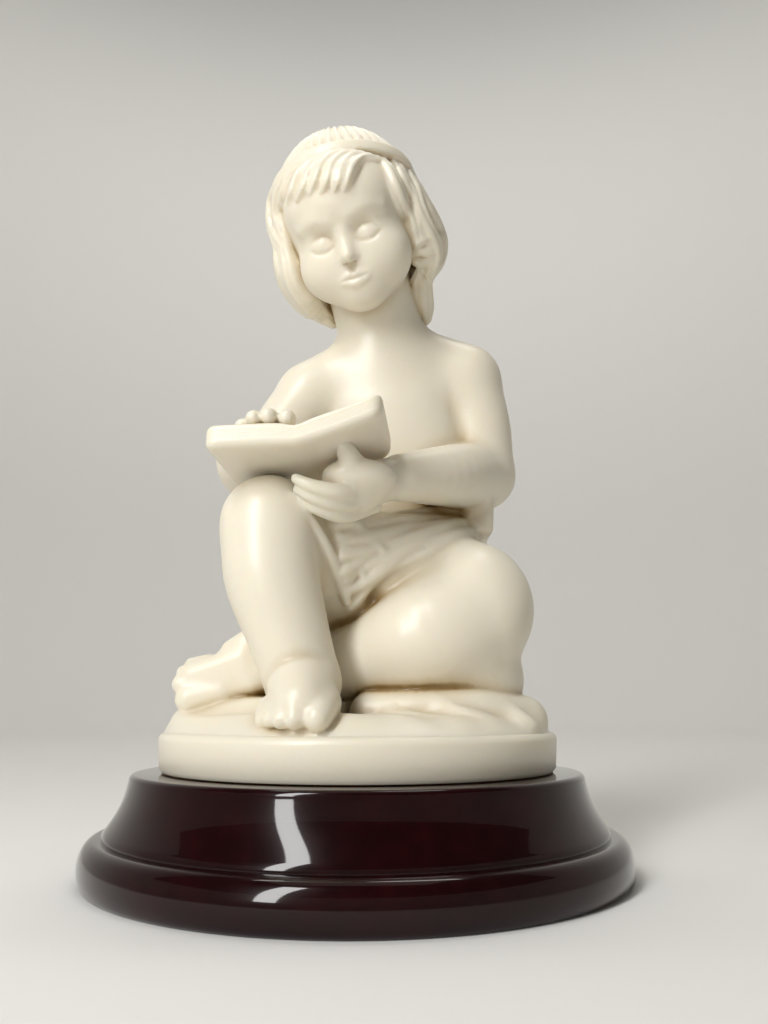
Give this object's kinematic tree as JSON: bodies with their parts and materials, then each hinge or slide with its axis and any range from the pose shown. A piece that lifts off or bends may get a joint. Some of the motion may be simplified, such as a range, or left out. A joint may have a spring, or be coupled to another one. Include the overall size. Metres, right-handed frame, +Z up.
{
  "type": "seated reading girl figurine",
  "caption": "Alabaster-look figurine of a seated girl reading an open book, cast with a round disc that stands on a turned dark wood base.",
  "frame": {"origin": "centre of the wood base's flat underside, on the surface it stands on", "axes": "+Z up, the girl faces -Y, her left side is at +X"},
  "size_m": [0.1236, 0.1236, 0.1856],
  "materials": {
    "alabaster": "ivory alabaster casting, satin, slightly translucent, warmer in the hollows",
    "dark_wood": "very dark red-brown stain under high gloss lacquer"
  },
  "bodies": {
    "root": {"alabaster_figure": "alabaster", "wood_base": "dark_wood"}
  },
  "joints": []
}
